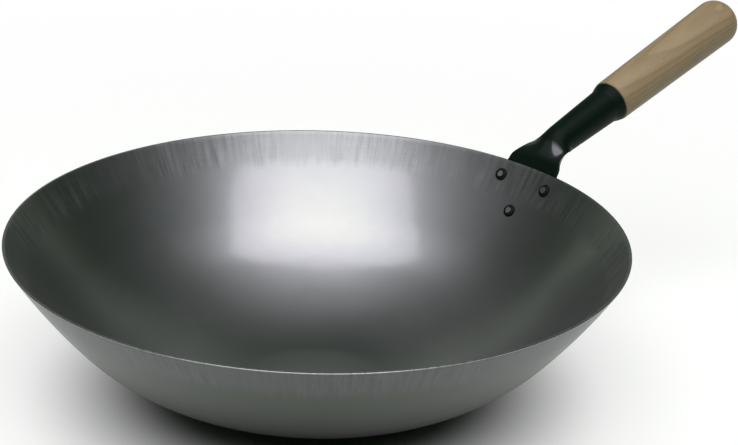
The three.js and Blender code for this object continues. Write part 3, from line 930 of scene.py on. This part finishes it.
LAMP_HEIGHT = 4.1
LAMP_RADIANCE = 2.80
LAMP_COLOUR = (0.990, 0.953, 1.105)
# The soft box's outline, in lamp heights: (towards the camera, left end, right end).
LAMP_OUTLINE = [
    (-0.19, -0.28, 0.22),
    (-0.12, -0.46, 0.40),
    (0.10, -0.55, 0.475),
    (0.25, -0.605, 0.555),
    (0.40, -0.63, 0.645),
    (1.40, -0.63, 0.645),
]
LAMP_STRIP = 0.06
LAMP_GAP = 0.01
MIDDLE_FORWARD = 1.60
MIDDLE_WIDTH = 2.4
MIDDLE_DEPTH = 2.2
MIDDLE_RADIANCE = 0.66
MIDDLE_COLOUR = (1.0, 0.92, 0.20)
# The dim ceiling on both sides of it, in lamp heights: (left end, right end, radiance).
SPILLS = [(-0.90, 0.95, 0.18), (-1.6, 1.40, 0.15)]
SPILL_FORWARD = 0.5
SPILL_DEPTH = 1.5

for (back, back_left, back_right), (front, front_left, front_right) in zip(LAMP_OUTLINE, LAMP_OUTLINE[1:]):
    strips = 1 if back_right == front_right else math.ceil((front - back) / LAMP_STRIP)
    for i in range(strips):
        share = (i + 0.5) / strips
        left = between(back_left, front_left, share) * LAMP_HEIGHT
        right = between(back_right, front_right, share) * LAMP_HEIGHT
        strip_middle = ((left + right) / 2, between(back, front, share) * LAMP_HEIGHT, LAMP_HEIGHT)
        strip_depth = (front - back) / strips * LAMP_HEIGHT
        soft_box("soft_box_strip", strip_middle, right - left, strip_depth, LAMP_RADIANCE, LAMP_COLOUR)
for left, right, spill_radiance in SPILLS:
    spill_aside = (left + right) / 2 * LAMP_HEIGHT
    spill_middle = (spill_aside, SPILL_FORWARD * LAMP_HEIGHT, LAMP_HEIGHT + LAMP_GAP)
    spill_width = (right - left) * LAMP_HEIGHT
    spill_depth = SPILL_DEPTH * LAMP_HEIGHT
    soft_box("soft_box_spill", spill_middle, spill_width, spill_depth, spill_radiance, LAMP_COLOUR)
bright_middle = (0, MIDDLE_FORWARD, LAMP_HEIGHT - LAMP_GAP)
soft_box("soft_box_middle", bright_middle, MIDDLE_WIDTH, MIDDLE_DEPTH, MIDDLE_RADIANCE, MIDDLE_COLOUR)

# The edges of the backdrop and the ceiling: how far a direction points backwards or upwards, up to 1.
ROOM_DARK = (0.014, 0.030, 0.015, 1)
BACKDROP_GREY = (0.262, 0.296, 0.256, 1)
BACKDROP_SIDES = (0.56, 0.76)
BACKDROP_TOP = (0.5, 0.85)
BACKDROP_PALER_LEFT = 0.8
CEILING_GREY = (0.060, 0.068, 0.060, 1)
CEILING_EDGE = (0.55, 0.85)
CEILING_LOWER_LEFT = 0.35

world = bpy.data.worlds.new("studio_room")
world.use_nodes = True
world.node_tree.nodes.clear()
field = Field(world.node_tree)
direction = field.node("ShaderNodeTexCoord", out="Generated")
_, _, upwards = split(direction)


def turned_to(axis):
    """How far a direction is turned to an axis, from -1 to 1."""
    return field.node("ShaderNodeVectorMath", {"operation": "DOT_PRODUCT"}, {0: direction, 1: axis}, "Value")


sideways = turned_to(camera_right)
backwards = turned_to(-towards_camera)
backdrop = backwards.ramp(*BACKDROP_SIDES) * (1 - upwards.ramp(*BACKDROP_TOP))
backdrop = backdrop * (1 - sideways * BACKDROP_PALER_LEFT)
ceiling = (upwards - sideways * CEILING_LOWER_LEFT).ramp(*CEILING_EDGE)
room = ceiling.mix(backdrop.mix(ROOM_DARK, BACKDROP_GREY), CEILING_GREY)
room_light = field.node("ShaderNodeBackground", {}, {"Color": room, "Strength": 1.0})
field.node("ShaderNodeOutputWorld", {}, {"Surface": room_light})
bpy.context.scene.world = world
bpy.context.scene.view_settings.view_transform = "Standard"


# Camera
# It stands where the photograph was taken from: about an arm's length from the wok, looking down on
# it by 22 degrees and slightly rolled.

CAMERA_ELEVATION = math.radians(21.99)
CAMERA_ROLL = math.radians(2.14)
CAMERA_DISTANCE = 0.937
CAMERA_AIM = Vector((0.02088, -0.01906, bowl_height + 0.00617))
LENS_LENGTH = 80
SENSOR_WIDTH = 36

back = towards_camera * math.cos(CAMERA_ELEVATION) + Vector((0, 0, math.sin(CAMERA_ELEVATION)))
up = back.cross(camera_right)
rolled_right = camera_right * math.cos(CAMERA_ROLL) + up * math.sin(CAMERA_ROLL)
rolled_up = back.cross(rolled_right)
lens = bpy.data.cameras.new("camera")
lens.lens = LENS_LENGTH
lens.sensor_width = SENSOR_WIDTH
lens.clip_start = 0.01
camera = bpy.data.objects.new("camera", lens)
turn = Matrix((rolled_right, rolled_up, back)).transposed().to_4x4()
camera.matrix_world = Matrix.Translation(CAMERA_AIM + back * CAMERA_DISTANCE) @ turn
bpy.context.scene.collection.objects.link(camera)
bpy.context.scene.camera = camera
